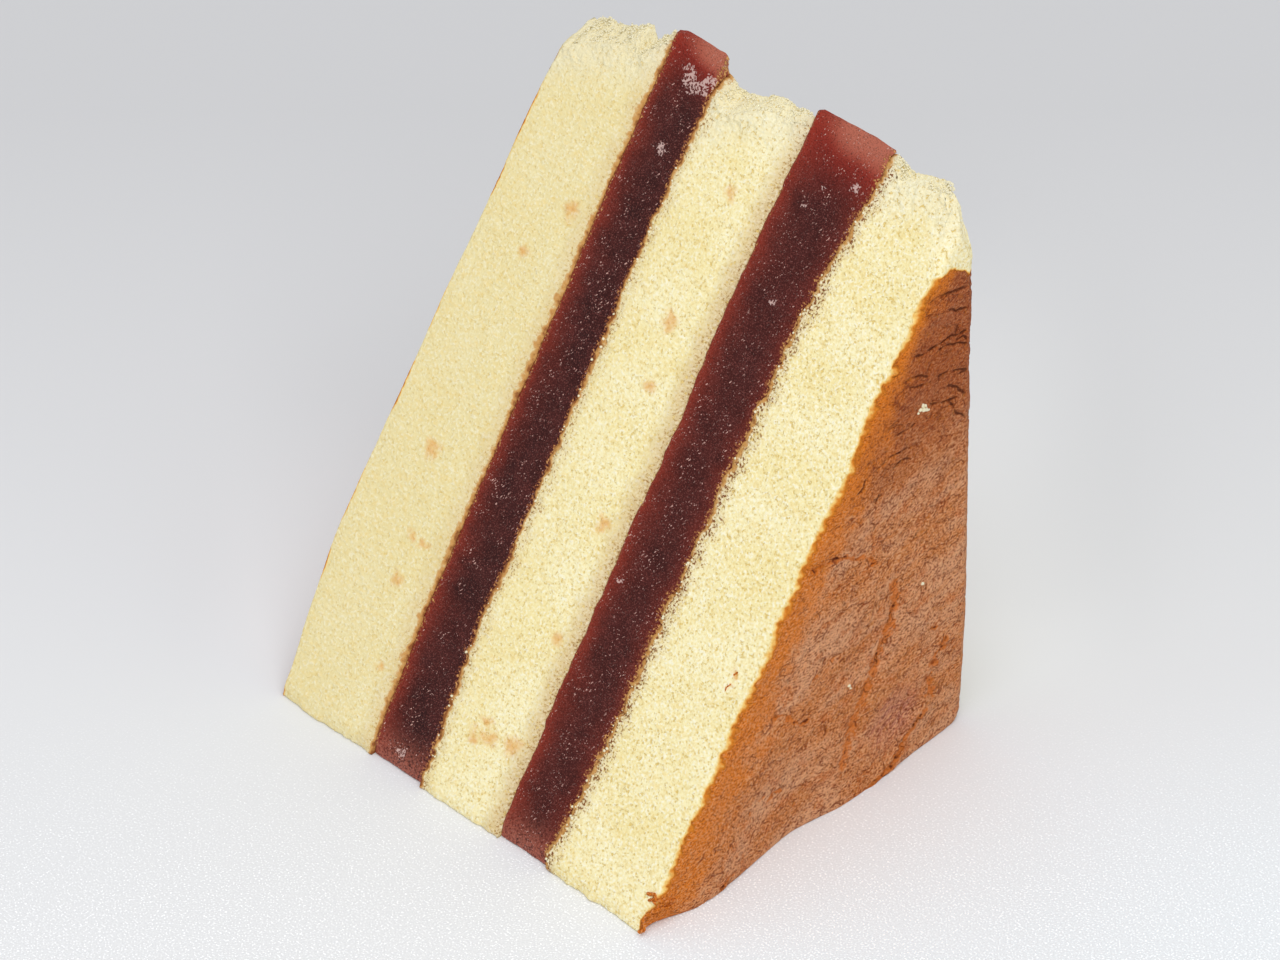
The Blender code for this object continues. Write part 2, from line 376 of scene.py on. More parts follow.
def keep_value(data, name, values):
    """Stores one number for each point, which a material can read by its name."""
    layer = data.attributes.new(name, "FLOAT", "POINT")
    layer.data.foreach_set("value", np.asarray(values, dtype=np.float32))


def place_piece(data, node, material):
    """Shows the finished mesh in place of a node of the frame."""
    data.materials.append(material)
    data.shade_smooth()
    data.update()
    piece = bpy.data.objects.new(data.name, data)
    bpy.context.scene.collection.objects.link(piece)
    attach(piece, "root")
    if node:
        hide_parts(node)
    return piece


# %% [markdown]
# Castella has a tight, even crumb. Cut cleanly it looks almost like felt, with shallow hollows about
# half a millimetre wide. The knife came from the left, so it pulled the crumb out along the right edge
# of each jelly bar and left ragged pits there, while the left edges stayed clean. At the ridge the
# sponge was torn, and its crumb is coarse and loose.

# %% Cut crumb


def sponge_sink(seed, crown_left, crown_right, pulled=0.0):
    """How far the cut crumb lies under its plane, for one slab."""

    def sink(x, z, low, high, top, behind):
        v = z / UP_SLOPE
        side = 9.0 * behind
        to_left, to_right = x - low, high - x
        depth = 0.09 * rough(x, v, side, 5.0, seed, 2) - 0.05
        depth += crown_left * (1 - ease(to_left / 2.0)) ** 2
        depth += crown_right * (1 - ease(to_right / 2.0)) ** 2
        hollows = rough(x, v, side, 0.6, seed + 2.0, 2)
        depth += 0.07 * np.clip(hollows - 0.05, 0.0, 1.0) + 0.03 * wander(x, v, side, 0.3, seed + 3.0)
        pits = np.clip(rough(x, v, side, 0.8, seed + 4.0, 2) - 0.1, 0.0, 1.0)
        depth += pulled * 1.5 * pits * (1 - ease(to_left / 1.8))
        torn = ease(1 - (top - z) / 4.0)
        tatter = 0.5 * wander(x, v, side, 1.8, seed + 8.0) + 0.5 * rough(x, v, side, 0.6, seed + 9.0, 2)
        return depth + torn * (0.2 + 0.4 * tatter + 0.12 * wander(x, v, side, 0.32, seed + 11.0))

    return sink


def torn_ridge(places, drops, seed, tear):
    """Height of a layer's end for each x, from how far it lies below the ridge at a few places."""

    def ridge(x, along):
        depth = 2.5 * along
        ragged = rough(x, depth, 0.0, 1.4, seed, 2) + 0.8 * rough(x, depth, 4.0, 0.45, seed, 2)
        return HEIGHT - np.interp(x, places, drops) + tear * ragged

    return ridge


left_ridge = torn_ridge(
    (-26, -25.4, -25, -24, -23, -22, -21, -20, -19, -18.2, -17.5, -16.6, -15),
    (5.8, 5.9, 5.0, 4.7, 4.6, 4.2, 3.6, 3.4, 2.8, 2.5, 3.9, 2.9, 1.7), seed=4.1, tear=0.5,
)
middle_ridge = torn_ridge(
    (-7, -6, -5, -3, -2, -1, 0, 2, 4),
    (2.7, 3.6, 3.8, 3.2, 2.7, 2.3, 1.9, 1.9, 1.4), seed=6.1, tear=0.4,
)
right_ridge = torn_ridge(
    (14, 16, 17, 18, 20, 22, 23, 24, 25, 26),
    (0.4, 0.8, 1.5, 1.6, 0.8, 0.4, 0.8, 1.7, 2.8, 4.1), seed=8.1, tear=0.35,
)
print("the middle slab ends %.1f mm high" % middle_ridge(0.0, 0.0))

# %% [markdown]
# Colours are given as they look on screen, from 0 to 255, and turned into the linear values that shaders
# work with. A few helpers keep the node trees short: one adds a node with its settings, and the others
# make the nodes that every finish here needs.

# %% Helpers for materials


def shade(red, green, blue):
    def linear(value):
        value = value / 255
        return value / 12.92 if value <= 0.04045 else ((value + 0.055) / 1.055) ** 2.4

    return (linear(red), linear(green), linear(blue), 1.0)


def add_node(tree, kind, inputs=(), **settings):
    """Adds a node. inputs maps socket names or numbers to a value or to another node's output."""
    made = tree.nodes.new("ShaderNode" + kind)
    for key, value in settings.items():
        setattr(made, key, value)
    for key, value in dict(inputs).items():
        if isinstance(value, bpy.types.NodeSocket):
            tree.links.new(value, made.inputs[key])
        else:
            made.inputs[key].default_value = value
    return made


def blend_colours(tree, share, first, second):
    return add_node(tree, "Mix", {0: share, 6: first, 7: second}, data_type="RGBA").outputs[2]


def calculate(tree, way, first, second=0.0, third=0.0):
    return add_node(tree, "Math", {0: first, 1: second, 2: third}, operation=way).outputs[0]


def times(tree, first, second):
    return calculate(tree, "MULTIPLY", first, second)


def tint(tree, colour, *layers):
    """Lays shades over a colour one by one, each given as its share, red, green and blue."""
    for share, red, green, blue in layers:
        colour = blend_colours(tree, share, colour, shade(red, green, blue))
    return colour


def stretch(tree, value, low, high, to_low=0.0, to_high=1.0):
    sockets = {"Value": value, "From Min": low, "From Max": high, "To Min": to_low, "To Max": to_high}
    return add_node(tree, "MapRange", sockets, interpolation_type="SMOOTHSTEP").outputs[0]


def painted(tree, name):
    return add_node(tree, "Attribute", attribute_name=name).outputs["Fac"]


def frayed(tree, name, fray, low=0.02, high=0.2):
    """A painted value with an uneven border, which stays 0 where nothing is painted."""
    value = painted(tree, name)
    return times(tree, calculate(tree, "ADD", value, fray), stretch(tree, value, low, high))


def noise(tree, vector, scale, detail=3.0):
    return add_node(tree, "TexNoise", {"Vector": vector, "Scale": scale, "Detail": detail}).outputs["Fac"]


def new_material(name):
    """The material, its node tree, its surface node and the place in space that it reads."""
    material = bpy.data.materials.new(name)
    material.use_nodes = True
    tree = material.node_tree
    return material, tree, tree.nodes["Principled BSDF"], add_node(tree, "TexCoord").outputs["Object"]


def add_bump(tree, surface, height, strength, distance):
    bump = add_node(tree, "Bump", {"Height": height, "Strength": strength, "Distance": distance})
    tree.links.new(bump.outputs[0], surface.inputs["Normal"])


print("cream on screen is", [round(c, 2) for c in shade(243, 230, 184)])

# %% [markdown]
# Small round bubbles show in the crumb and, much finer, in the jelly. Both finishes use the same effect,
# so it is a shader group of its own: scattered cells of varied size, put out as a mask and as a height.

# %% The bubble group
bubbles = bpy.data.node_groups.new("bubbles", "ShaderNodeTree")
for way, name, kind in (
    ("INPUT", "Vector", "Vector"), ("INPUT", "Per Metre", "Float"), ("INPUT", "Size", "Float"),
    ("OUTPUT", "Mask", "Float"), ("OUTPUT", "Height", "Float"),
):
    bubbles.interface.new_socket(name, in_out=way, socket_type="NodeSocket" + kind)
group_in = bubbles.nodes.new("NodeGroupInput")
group_out = bubbles.nodes.new("NodeGroupOutput")
cells = add_node(
    bubbles, "TexVoronoi", {"Vector": group_in.outputs["Vector"], "Scale": group_in.outputs["Per Metre"]}
)
chance = add_node(bubbles, "SeparateColor", {"Color": cells.outputs["Color"]}).outputs[0]
bubble_size = calculate(bubbles, "MULTIPLY_ADD", chance, group_in.outputs["Size"], 0.02)
edge = calculate(bubbles, "DIVIDE", cells.outputs["Distance"], bubble_size)
mask = stretch(bubbles, edge, 0.6, 1.15, 1.0, 0.0)
bubbles.links.new(mask, group_out.inputs["Mask"])
bubbles.links.new(times(bubbles, mask, -1.0), group_out.inputs["Height"])


def add_bubbles(tree, vector, per_metre, size):
    sockets = {"Vector": vector, "Per Metre": per_metre, "Size": size}
    return add_node(tree, "Group", sockets, node_tree=bubbles)


print("bubble group has", len(bubbles.nodes), "nodes")

# %% [markdown]
# One material serves all three slabs, because skin and crumb are one baked sponge. Each point of a slab
# carries how much skin, stain, scorch and painted shade there is, and the material mixes its colours by them.
# The crumb comes first: cream with fine ochre pores and a fine grain that is partly its own colour and partly
# painted highlight and painted shade. It is painted a little darker and plainer towards the left, as painted
# shade where less light falls.

# %% Castella: even crumb
castella, tree, surface, where = new_material("castella")
fray = noise(tree, where, 1500.0, 4.0)
torn_border = times(tree, calculate(tree, "SUBTRACT", fray, 0.5), 1.6)
broad = noise(tree, where, 150.0, 2.0)
grain = noise(tree, where, 3600.0, 2.0)
flattened = add_node(tree, "Mapping", {0: where, 2: (0.0, 0.5, 0.0), 3: (1.0, 1.0, 2.0)}).outputs[0]
fluff = noise(tree, flattened, 1100.0)
hollows = noise(tree, where, 2600.0, 4.0)
from_left = add_node(tree, "SeparateXYZ", {"Vector": where}).outputs[0]
depth_of_tone = stretch(tree, from_left, -0.03, 0.015, 0.5, 1.0)
pores = times(tree, add_bubbles(tree, where, 2000.0, 0.3).outputs["Mask"], 0.8)
pores = calculate(tree, "MAXIMUM", pores, stretch(tree, hollows, 0.59, 0.69))
pores = times(tree, pores, depth_of_tone)
crumb = tint(
    tree, shade(248, 234, 176),
    (stretch(tree, broad, 0.35, 0.65), 252, 242, 194),
    # painted shade: the crumb is painted darker towards the left, where less light falls
    (stretch(tree, from_left, -0.02, 0.002, 0.7, 0.0), 234, 219, 166),
    (stretch(tree, fluff, 0.45, 0.75, 0.0, 0.5), 243, 217, 146),
    # fine grain, partly the crumb's own colour and partly painted highlight and painted shade, fainter to the
    # left
    (times(tree, stretch(tree, grain, 0.5, 0.7, 0.0, 0.7), depth_of_tone), 255, 253, 234),
    (times(tree, stretch(tree, grain, 0.5, 0.3, 0.0, 0.6), depth_of_tone), 232, 206, 134),
    # painted shade where the crumb rounds down into the seam beside a jelly bar
    (painted(tree, "seam_shade"), 212, 186, 140),
    (times(tree, painted(tree, "torn"), 0.5), 242, 236, 208),
    (times(tree, pores, 0.85), 230, 197, 110),
)
print("crumb is mixed by", len(tree.nodes), "nodes")

# %% [markdown]
# Beside a jelly bar the crumb is pitted and browned along the edge. Its pits are painted dark, partly brown
# crumb and partly painted shade, and the tufts between them are painted pale as painted highlight.
# Noise frays each border, since a mask with a smooth edge would look printed on.

# %% Castella: crumb beside the jelly
near_bar = painted(tree, "near_bar")
pit_noise = noise(tree, where, 4000.0, 2.0)
# the pits are painted dark brown, partly brown crumb and partly painted shade in the holes
pits = stretch(tree, calculate(tree, "MULTIPLY_ADD", near_bar, 0.14, pit_noise), 0.62, 0.72)
pits = times(tree, pits, stretch(tree, near_bar, 0.03, 0.3))
pit_shade_colour = tint(tree, shade(200, 166, 108), (stretch(tree, near_bar, 0.2, 0.8), 132, 80, 44))
stain = times(tree, painted(tree, "stain"), calculate(tree, "ADD", hollows, 0.4))
scorch = frayed(tree, "scorch", torn_border)
crumb = tint(
    tree, blend_colours(tree, pits, crumb, pit_shade_colour),
    # painted highlight on the pale tufts between the pits
    (times(tree, stretch(tree, pit_noise, 0.46, 0.36, 0.0, 0.8), near_bar), 255, 248, 222),
    (stretch(tree, stain, 0.1, 1.1, 0.0, 0.85), 230, 172, 96),
    (stretch(tree, scorch, 0.1, 0.55, 0.0, 0.95), 204, 150, 84),
    (stretch(tree, scorch, 0.55, 0.95), 150, 92, 50),
)
print("with pits and stains it is", len(tree.nodes), "nodes")

# %% [markdown]
# The skin's marks all run one way, as they do where a baked skin has shrunk. So its textures read space that
# is turned and drawn out along the wrinkles. Broad warm patches and soft folds come first, the folds painted
# darker in their hollows and paler on their crests as painted shade and painted highlight. Then come the
# darker bake near the top and the orange of the rim.

# %% Castella: broad colours of the skin


def leaning(tree, vector, longer):
    """Space turned and drawn out, so that a texture's marks run along the wrinkles."""
    sockets = {0: vector, 2: (0.25, 0.0, 0.0), 3: (1.0, longer, 1.0)}
    return add_node(tree, "Mapping", sockets, vector_type="TEXTURE").outputs[0]


mottle = noise(tree, where, 600.0)
wobble = add_node(tree, "TexNoise", {"Vector": where, "Scale": 500.0}).outputs["Color"]
sockets = {0: wobble, 1: (0.0016,) * 3, 2: where}
along = leaning(tree, add_node(tree, "VectorMath", sockets, operation="MULTIPLY_ADD").outputs[0], 2.6)
folds = noise(tree, along, 1300.0, 4.0)
rim = calculate(tree, "ADD", painted(tree, "rim"), calculate(tree, "SUBTRACT", mottle, 0.5))
skin = tint(
    tree, shade(230, 166, 122),
    (stretch(tree, noise(tree, along, 240.0, 3.0), 0.35, 0.62), 218, 134, 72),
    # painted shade in the hollows of the folds and painted highlight on their crests
    (stretch(tree, folds, 0.3, 0.48, 0.4, 0.0), 164, 92, 50),
    (stretch(tree, folds, 0.52, 0.7, 0.0, 0.4), 220, 160, 124),
    (stretch(tree, mottle, 0.5, 0.66, 0.0, 0.55), 202, 106, 46),
    (times(tree, painted(tree, "dark_bake"), 0.9), 168, 82, 34),
    (stretch(tree, rim, 0.0, 1.0, 0.0, 0.95), 232, 128, 32),
    (times(tree, painted(tree, "plum"), stretch(tree, folds, 0.35, 0.6, 1.0, 0.45)), 200, 126, 106),
)
print("with the skin it is", len(tree.nodes), "nodes")

# %% [markdown]
# Over those lies the detail: fine dark grain with pale flecks, which are a painted sheen on its bumps, the
# orange of open cracks, short slits, and last the dark bottoms of slits, wrinkles and cracks, which are
# painted shade. The grain is fainter on the soft rim.

# %% Castella: grain, cracks and wrinkles
grained = leaning(tree, where, 1.8)
skin_grain = noise(tree, grained, 6200.0, 2.0)
sockets = {"Vector": along, "Scale": 1050.0}
network = add_node(tree, "TexVoronoi", sockets, feature="DISTANCE_TO_EDGE").outputs["Distance"]
some = stretch(tree, noise(tree, grained, 1100.0, 3.0), 0.48, 0.58)
slit = times(tree, stretch(tree, network, 0.0, 0.055, 1.0, 0.0), some)
slit = times(tree, slit, stretch(tree, rim, 0.4, 1.0, 1.0, 0.3))
crack = frayed(tree, "crack", times(tree, torn_border, 1.6))
wrinkle = times(tree, painted(tree, "wrinkle"), calculate(tree, "ADD", fray, 0.4))
soft = stretch(tree, rim, 0.2, 0.9, 1.0, 0.7)
# where the painted sheen on the grain shows
pale = times(tree, soft, stretch(tree, painted(tree, "dark_bake"), 0.0, 1.0, 1.0, 0.35))
skin = tint(
    tree, skin,
    (times(tree, stretch(tree, skin_grain, 0.32, 0.5, 0.95, 0.0), soft), 134, 62, 28),
    # painted sheen: pale flecks on the grain's bumps
    (times(tree, stretch(tree, skin_grain, 0.5, 0.66, 0.0, 0.8), pale), 238, 178, 130),
    (stretch(tree, crack, 0.05, 0.5, 0.0, 0.75), 220, 118, 40),
    # painted shade in the slits
    (times(tree, slit, 0.8), 140, 56, 14),
    # painted shade in the bottoms of the wrinkles
    (stretch(tree, wrinkle, 0.2, 0.7, 0.0, 0.85), 92, 38, 12),
    # painted shade in the bottoms of the cracks
    (stretch(tree, crack, 0.7, 1.1), 110, 46, 16),
)
print("with its grain and cracks it is", len(tree.nodes), "nodes")

# %% [markdown]
# Crumb and skin meet in a golden and then an orange band, because the crumb next to the skin is baked
# too. Roughness and bump change over at the same frayed border, and torn sponge gets the coarsest bump.

# %% Castella: crumb and skin together
skin_share = frayed(tree, "skin", times(tree, torn_border, 0.45), 0.01, 0.1)
colour = tint(
    tree, crumb,
    (stretch(tree, skin_share, 0.15, 0.5), 244, 202, 116),
    (stretch(tree, skin_share, 0.42, 0.7), 214, 128, 40),
)
skin_share = stretch(tree, skin_share, 0.68, 0.95)
tree.links.new(blend_colours(tree, skin_share, colour, skin), surface.inputs["Base Color"])
roughness = calculate(tree, "MULTIPLY_ADD", skin_share, -0.3, 0.95)
tree.links.new(roughness, surface.inputs["Roughness"])
crumb_height = calculate(tree, "ADD", calculate(tree, "MULTIPLY_ADD", pores, -0.5, grain), fluff)
crumbly = times(tree, painted(tree, "torn"), noise(tree, where, 2000.0, 3.0))
crumb_height = calculate(tree, "MULTIPLY_ADD", crumbly, 2.2, crumb_height)
skin_height = calculate(tree, "MULTIPLY_ADD", skin_grain, 4.5, times(tree, slit, -3.5))
skin_height = calculate(tree, "MULTIPLY_ADD", folds, 9.0, skin_height)
height = add_node(tree, "Mix", {0: skin_share, 2: crumb_height, 3: skin_height}).outputs[0]
add_bump(tree, surface, height, 0.7, 0.00015)
surface.inputs["Specular IOR Level"].default_value = 0.12
print("castella has", len(tree.nodes), "nodes")

# %% [markdown]
# The jelly is set bean paste with agar: dark maroon and satin, full of tiny pale points and tiny bubbles.
# Light shining through it is painted into its colour as a redder, paler glow at the thin tip, along its edges
# and at its foot. A low specular keeps it satin, and a faint bump breaks up its shine. Crumbs dragged over it
# by the knife are a pale film in places.

# %% Bean jelly
jelly, tree, surface, where = new_material("bean jelly")
grain = noise(tree, where, 2600.0)
fine = noise(tree, where, 4200.0, 4.0)
dots = noise(tree, where, 7500.0, 2.0)
# painted light: the thin tip glows where light shines through it
tip = painted(tree, "lit_through_tip")
crooked = add_node(tree, "VectorMath", {0: where, 1: times(tree, grain, 0.0006)}, operation="ADD")
points = add_bubbles(tree, crooked.outputs[0], 4000.0, 0.32)
speck_area = stretch(tree, noise(tree, where, 500.0), 0.4, 0.66, 0.1, 0.9)
flecks = times(tree, times(tree, points.outputs["Mask"], speck_area), 0.95)
border = frayed(tree, "border", calculate(tree, "MULTIPLY_ADD", fine, 4.0, -2.0))
smear = frayed(tree, "smear", calculate(tree, "MULTIPLY_ADD", fine, 4.5, -2.25), 0.05, 0.4)
body = tint(
    tree, shade(48, 18, 18),
    (stretch(tree, noise(tree, where, 420.0, 4.0), 0.35, 0.65), 64, 27, 26),
    # painted light shining through the jelly's edges, with redder body colour on the right bar
    (painted(tree, "lit_through_edge"), 148, 50, 32),
    # painted light shining through the jelly's foot
    (times(tree, painted(tree, "foot"), stretch(tree, fine, 0.3, 0.6)), 186, 106, 86),
    (tip, 164, 46, 30),
    (stretch(tree, tip, 0.5, 0.9), 182, 104, 84),
    (times(tree, stretch(tree, dots, 0.52, 0.74), stretch(tree, tip, 0.0, 0.5, 0.45, 0.2)), 160, 96, 88),
    (stretch(tree, dots, 0.3, 0.5, 0.6, 0.0), 36, 14, 13),
    (stretch(tree, border, 0.3, 0.6, 0.0, 0.8), 140, 78, 48),
    (stretch(tree, border, 0.7, 1.0), 204, 152, 92),
    (flecks, 232, 184, 172),
    (stretch(tree, smear, 0.45, 0.95, 0.0, 0.8), 214, 182, 174),
)
tree.links.new(body, surface.inputs["Base Color"])
tree.links.new(stretch(tree, grain, 0.3, 0.7, 0.38, 0.55), surface.inputs["Roughness"])
height = calculate(tree, "MULTIPLY_ADD", points.outputs["Height"], -0.7, grain)
add_bump(tree, surface, height, 0.6, 0.00012)
surface.inputs["Specular IOR Level"].default_value = 0.14
print("bean jelly has", len(tree.nodes), "nodes")

# %% [markdown]
# Now the five layers, left to right. What a point is made of follows from where it is: how far it is
# from the jelly, from the skin's rim and from the few tan blotches that show on the cut face.

# %% What a point of a slab is made of
BLOTCHES = (
    (-16.8, 58.7, 1.1), (-20.5, 52.7, 0.9), (-20.5, 30.7, 1.0), (-18.6, 21.7, 0.7), (-16.8, 21.7, 0.6),
    (-17.7, 17.5, 0.9), (-15.8, 8.7, 0.8), (-0.5, 68.4, 0.9), (-1.1, 54.4, 1.1), (0.1, 47.7, 0.8),
    (1.7, 33.4, 0.9), (2.3, 20.9, 0.9), (2.6, 9.1, 1.3), (-0.4, 8.7, 1.1), (-2.2, 8.0, 0.9),
    (-1.4, 10.2, 0.7), (22.9, 27.8, 0.45), (22.8, 26.3, 0.35),
)


def spots(places, u, v):
    """1 at the middle of each listed spot, 0 away from it, with an uneven outline."""
    u = u + 0.9 * rough(u, v, 0.0, 1.3, 33.0)
    v = v + 0.9 * rough(u, v, 5.0, 1.3, 34.0)
    total = np.zeros(np.shape(u))
    for pu, pv, size in places:
        total = np.maximum(total, np.exp(-(((u - pu) ** 2 + (v - pv) ** 2) / size**2)))
    return total


def paint_slab(data, facts, bar_on_left, bar_on_right, pulled, fringe=0.0):
    """Where crumb is scorched, porous or painted in shade beside a bar. pulled is how torn its left edge is.
    """
    x, v = facts["x"], facts["slope"]
    cut = facts["front"] | facts["rear"]
    to_left, to_right = x - facts["low"], facts["high"] - x
    uneven = 0.5 + 0.5 * rough(x, v, facts["rear"] * 5.0, 1.0, 31.0, 3)
    patchy = 0.5 + 0.5 * wander(0.0, v, 0.0, 4.0, 35.0)
    scorch = bar_on_left * np.exp(-((to_left / (0.2 + 0.55 * uneven * (0.2 + patchy))) ** 2))
    scorch += fringe * np.exp(-((to_right / (0.25 + 0.7 * uneven * patchy)) ** 2))
    keep_value(data, "scorch", scorch)
    near_bar = pulled * (1 - ease(to_left / (1.0 + 3.2 * uneven)))
    near_bar = np.maximum(near_bar, 0.6 * bar_on_right * (1 - ease(to_right / (1.0 + 2.0 * uneven))))
    keep_value(data, "near_bar", near_bar * cut)
    # painted shade beside a jelly bar, where the crumb falls into the seam and along a torn left edge
    seam_shade = 0.95 * bar_on_right * (1 - ease(to_right / (2.0 + 1.6 * uneven)))
    seam_shade += 0.8 * pulled * (1 - ease(to_left / (1.0 + 2.2 * uneven)))
    keep_value(data, "seam_shade", seam_shade)
    keep_value(data, "torn", ease(1 - (facts["top"] - facts["z"]) / 4.5))
    keep_value(data, "stain", spots(BLOTCHES, x, v) * facts["front"])


def paint_skin(data, **shares):
    for name in ("skin", "rim", "dark_bake", "plum", "crack", "wrinkle"):
        keep_value(data, name, shares.get(name, np.zeros(len(data.vertices))))


print(len(BLOTCHES), "tan blotches")

# %% [markdown]
# The left slab keeps its browned skin on the left face, and a broken thread of it shows along the cut.

# %% Left slab


def left_skin(y, z):
    relief = 0.12 * rough(0.0, y, z, 4.0, 2.6, 4)
    return face_line(OUTER_LEFT, z) + relief


slab, facts = shape_layer(
    "castella_left_crumb", (36, 14, 300), ("front",),
    near=left_skin, far=lambda y, z: left_jelly_near(y, z) - GAP,
    ridge=left_ridge, sink=sponge_sink(1.3, crown_left=0.1, crown_right=0.3),
    rounding=(0.4, 0.0), slump=SLUMP,
)
paint_slab(slab, facts, bar_on_left=0.0, bar_on_right=0.55, pulled=0.0, fringe=0.75)
edge_skin = np.exp(-(((facts["x"] - facts["low"]) / 0.2) ** 2))
edge_skin *= (0.45 + 0.7 * wander(0.0, 0.0, facts["z"], 2.5, 44.0)) * ease((62.0 - facts["z"]) / 6.0)
full_skin = ease((60.0 - facts["z"]) / 3.0)
skin = np.where(facts["left"] & ~facts["front"], full_skin, np.clip(edge_skin, 0.0, 0.8))
paint_skin(slab, skin=skin, dark_bake=facts["left"] * 0.75)
place_piece(slab, "castella_left", castella)

# %% [markdown]
# The middle slab lies between the two bars. It is all crumb, most torn along its left edge.

# %% Middle slab
slab, facts = shape_layer(
    "castella_middle_crumb", (36, 8, 320), ("front",),
    near=lambda y, z: left_jelly_far(y, z) + GAP, far=lambda y, z: right_jelly_near(y, z) - GAP,
    ridge=middle_ridge, sink=sponge_sink(5.9, crown_left=0.15, crown_right=0.6, pulled=0.35), slump=SLUMP,
)
paint_slab(slab, facts, bar_on_left=0.9, bar_on_right=0.9, pulled=0.6, fringe=0.15)
paint_skin(slab)
place_piece(slab, "castella_middle", castella)

# %% [markdown]
# The right slab carries the skin with all its folds. The skin laps round the edge of the cut by about a
# millimetre, has a paler, orange rim, and stops in a torn line below the ridge.

# %% Right slab, with the wrinkled skin


def right_skin(y, z):
    return face_line(OUTER_RIGHT, z) + skin_relief(y, z)


slab, facts = shape_layer(
    "castella_right_crumb", (28, 50, 226), ("front", "right"),
    near=lambda y, z: right_jelly_far(y, z) + GAP, far=right_skin,
    ridge=right_ridge, sink=sponge_sink(8.4, crown_left=0.15, crown_right=0.05, pulled=0.5),
    rounding=(0.0, 0.4), slump=SLUMP, soft_above=SKIN_TOP,
)
paint_slab(slab, facts, bar_on_left=0.7, bar_on_right=0.0, pulled=1.0)
y, z = facts["y"], facts["z"]
beyond = np.where(facts["right"], 0.55 * (y - front_edge(z)), facts["x"] - facts["high"])
beyond = np.where(facts["rear"], facts["x"] - facts["high"] + 0.6, beyond)
beyond += 0.35 * rough(0.0, 0.0, facts["slope"], 1.3, 41.0)
skin_top = SKIN_TOP - 1.9 * ease((y - 19.0) / 4.0)
torn_skin = ease((z - skin_top - 0.8 * rough(0.0, y, z, 2.0, 42.0, 4)) / 0.9)
reach = 0.6 + 0.6 * ease(facts["slope"] / 12.0)
on_skin = ease((beyond - 0.05) / reach + 0.5) * (facts["right"] | facts["front"] | facts["rear"])
to_front = (y - front_edge(z)) * UP_SLOPE
to_top = np.maximum(SKIN_TOP - z, 0.0)
uneven = 1 + 0.5 * rough(0.0, y, z, 2.5, 43.0)
rim_width = (5.5 - 3.3 * ease((z - 34.0) / 16.0)) * uneven
rim = np.exp(-((to_front / rim_width) ** 2)) + 0.4 * np.exp(-to_top / (0.8 * uneven))
streak = np.exp(-((distance_to_line(STREAK, y, z) / (0.6 * uneven)) ** 2))
open_lines = (crack_depth(y, z, CRACKS, 0.3), 0.8 * crease_depth(y, z, 0.55), 0.6 * streak)
bruise = np.exp(-((((y - 12.6) ** 2 + (z - 6.7) ** 2) / 13.0) ** 2))
paint_skin(
    slab, skin=on_skin * (1 - torn_skin), rim=np.clip(rim, 0.0, 1.0),
    dark_bake=facts["right"] * ease((z - 28.0) / 20.0), plum=facts["right"] * 0.9 * bruise,
    crack=np.maximum.reduce(open_lines) * facts["right"], wrinkle=slits(y, z) * facts["right"],
)
place_piece(slab, "castella_right", castella)

# %% [markdown]
# The jelly bars are cut clean: smooth faces with faint waves where the blade dragged, edges only a
# little rounded, and tips that stand proud of the torn sponge. The same gridded block does for them,
# with a gentle sink instead of crumb.

# %% Jelly bars
SMEARS = (
    (-10.8, 76.2, 0.8), (-9.7, 75.6, 0.9), (-8.6, 76.2, 0.9), (-7.8, 76.6, 0.6), (-10.5, 68.3, 0.8),
    (-9.6, 2.5, 0.9), (12.4, 75.0, 0.3), (9.3, 73.3, 0.3), (7.9, 70.9, 0.45), (8.9, 61.3, 0.5),
    (6.1, 29.1, 0.4),
)


def jelly_sink(seed):
    def sink(x, z, low, high, top, behind):
        v = z / UP_SLOPE
        to_side = np.minimum(x - low, high - x)
        depth = 0.2 + 0.08 * wander(x, v, behind * 4.0, 6.0, seed)
        depth += 0.04 * rough(x * 0.6, v, behind * 4.0, 1.6, seed + 1.0, 2)
        return depth + 0.12 * (1 - ease(to_side / 0.4)) ** 2

    return sink


def add_jelly(name, node, near, far, ridge, seed, torn_edge, left_edge, redness_and_glow, tip_reach):
    bar, facts = shape_layer(
        name, (20, 8, 320), ("front",),
        near=near, far=far, ridge=ridge, sink=jelly_sink(seed), worn_foot=jelly_foot,
    )
    x, v = facts["x"], facts["slope"]
    to_left = x - facts["low"]
    uneven = 1 + 0.5 * rough(x, v, 0.0, 2.0, seed + 5.0)
    to_right = facts["high"] - x
    # painted light shining through the edges; the last argument adds redder body colour all over and more
    # painted light at the right edge
    lit_through_edge = 0.85 * np.exp(-((to_left / (1.35 * uneven)) ** 1.2)) + redness_and_glow
    lit_through_edge += 4.0 * redness_and_glow * np.exp(-((to_right / (1.6 * uneven)) ** 2))
    keep_value(bar, "lit_through_edge", lit_through_edge)
    # painted light shining through the foot
    keep_value(bar, "foot", 0.9 * (1 - ease(facts["z"] / 5.0)) ** 1.5)
    border = np.exp(-((to_right / (torn_edge * uneven)) ** 1.5))
    border = np.maximum(left_edge * np.exp(-((to_left / (0.4 * uneven)) ** 2)), border)
    keep_value(bar, "border", 0.8 * border)
    # painted light at the thin tip
    tip = ease(1 - (facts["top"] - facts["z"]) / tip_reach) ** 1.6
    keep_value(bar, "lit_through_tip", tip * (0.55 + 0.35 * ease(to_left / 6.0)))
    keep_value(bar, "smear", spots(SMEARS, x, v) * facts["front"])
    return place_piece(bar, node, jelly)


